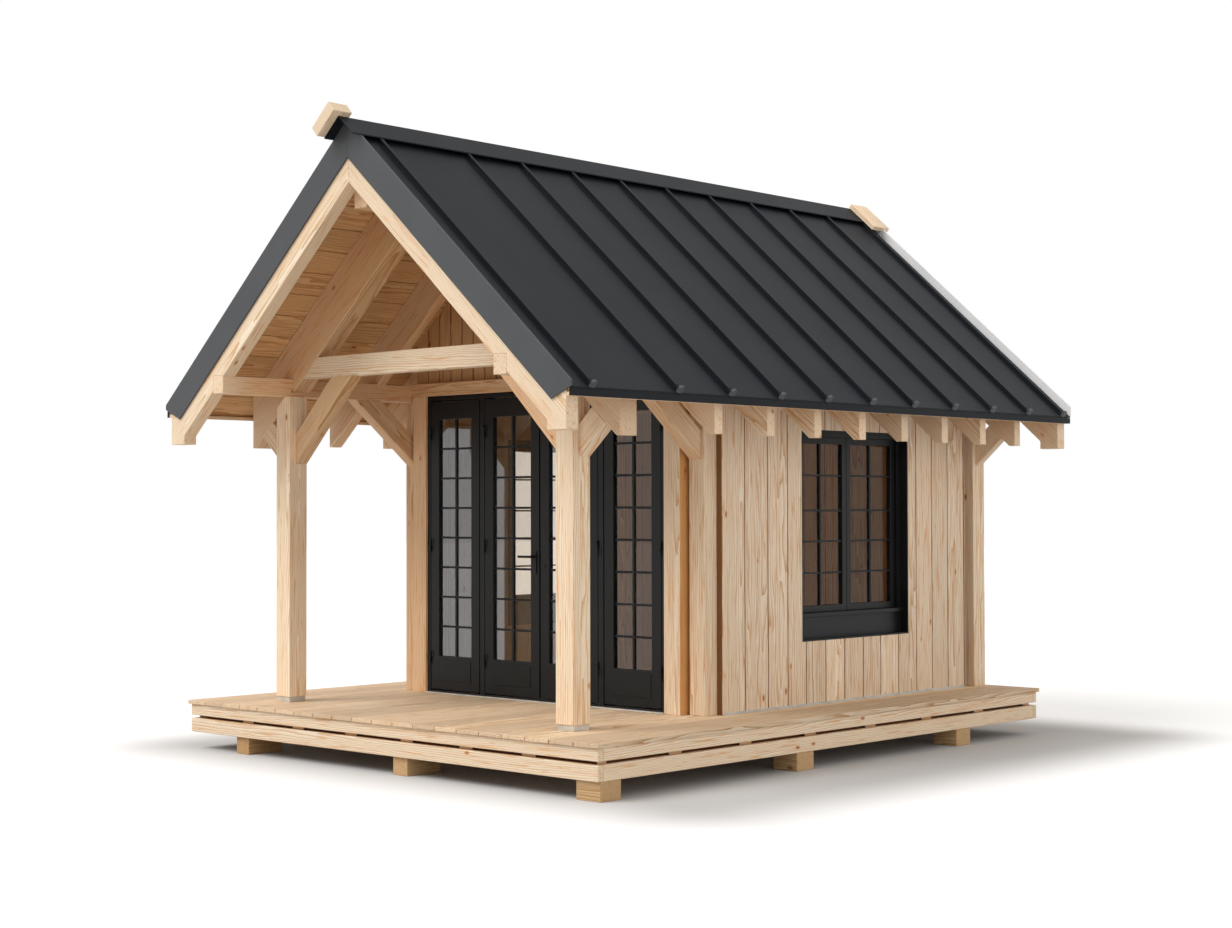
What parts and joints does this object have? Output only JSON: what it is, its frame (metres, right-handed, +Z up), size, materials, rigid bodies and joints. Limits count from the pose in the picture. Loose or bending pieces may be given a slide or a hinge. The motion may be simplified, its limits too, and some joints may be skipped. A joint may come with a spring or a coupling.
{
  "type": "garden shed with a porch",
  "caption": "Timber garden shed on a raised deck: clad cabin with hinged glazed doors and side windows behind an open porch, under a steep standing-seam metal gable roof on a braced frame.",
  "frame": {"origin": "on the ground, under the middle of the roof", "axes": "+Z up, porch and doors face -Y, +X to the right seen from the porch"},
  "size_m": [3.796, 5.415, 4.049],
  "materials": {
    "pine": "planed, clear oiled softwood",
    "deck_pine": "planed softwood deck boards",
    "wall_boards": "planed vertical softwood boards",
    "roof_metal": "matt charcoal coated sheet",
    "verge_metal": "matt grey coated sheet",
    "pale_metal": "pale grey coated metal",
    "black_joinery": "satin black painted timber",
    "black_metal": "black coated metal",
    "glass": "clear float glass"
  },
  "bodies": {
    "shed": {"foot_blocks": "pine", "lower_rim": "pine", "rim_spacers": "pine", "upper_rim": "pine", "deck": "deck_pine", "post_shoes": "pale_metal", "porch_posts": "pine", "front_corner_posts": "pine", "rear_posts": "pine", "wall_plates": "pine", "tie_beam": "pine", "tie_braces": "pine", "plate_braces": "pine", "outward_struts": "pine", "front_gable_rafters": "pine", "porch_rafters": "pine", "common_rafters": "pine", "rear_truss_rafters": "pine", "rear_gable_rafters": "pine", "ridge_beam": "pine", "roof_boards_left": "pine", "roof_boards_right": "pine", "roof_metal_left": "roof_metal", "roof_metal_right": "roof_metal", "ridge_cap": "roof_metal", "front_verge_flashing": "verge_metal", "rear_verge_flashing": "pale_metal", "eaves_trim": "roof_metal", "ridge_saddle_boards": "pine", "front_wall_left": "pine", "front_wall_right": "pine", "door_head_casing": "pine", "front_gable_wall": "wall_boards", "left_wall": "wall_boards", "right_wall": "wall_boards", "rear_wall": "wall_boards", "window_frames": "black_joinery", "window_sashes": "black_joinery", "window_glass": "glass", "door_frame": "black_joinery"},
    "outer_left_door": {"outer_left_leaf": "black_joinery", "outer_left_glass": "glass"},
    "inner_left_door": {"inner_left_leaf": "black_joinery", "inner_left_glass": "glass", "door_handle": "black_metal"},
    "inner_right_door": {"inner_right_leaf": "black_joinery", "inner_right_glass": "glass"},
    "outer_right_door": {"outer_right_leaf": "black_joinery", "outer_right_glass": "glass"}
  },
  "joints": [
    {"name": "outer_left_hinge", "type": "hinge", "parent": "shed", "child": "outer_left_door", "pos_m": [-1.075, -0.9815, 1.35], "axis": [0, 0, -1], "range_deg": [0, 90]},
    {"name": "inner_left_hinge", "type": "hinge", "parent": "shed", "child": "inner_left_door", "pos_m": [-0.53, -0.9815, 1.35], "axis": [0, 0, -1], "range_deg": [0, 90]},
    {"name": "inner_right_hinge", "type": "hinge", "parent": "shed", "child": "inner_right_door", "pos_m": [0.53, -0.9815, 1.35], "axis": [0, 0, 1], "range_deg": [0, 90]},
    {"name": "outer_right_hinge", "type": "hinge", "parent": "shed", "child": "outer_right_door", "pos_m": [1.075, -0.9815, 1.35], "axis": [0, 0, 1], "range_deg": [0, 90]}
  ]
}
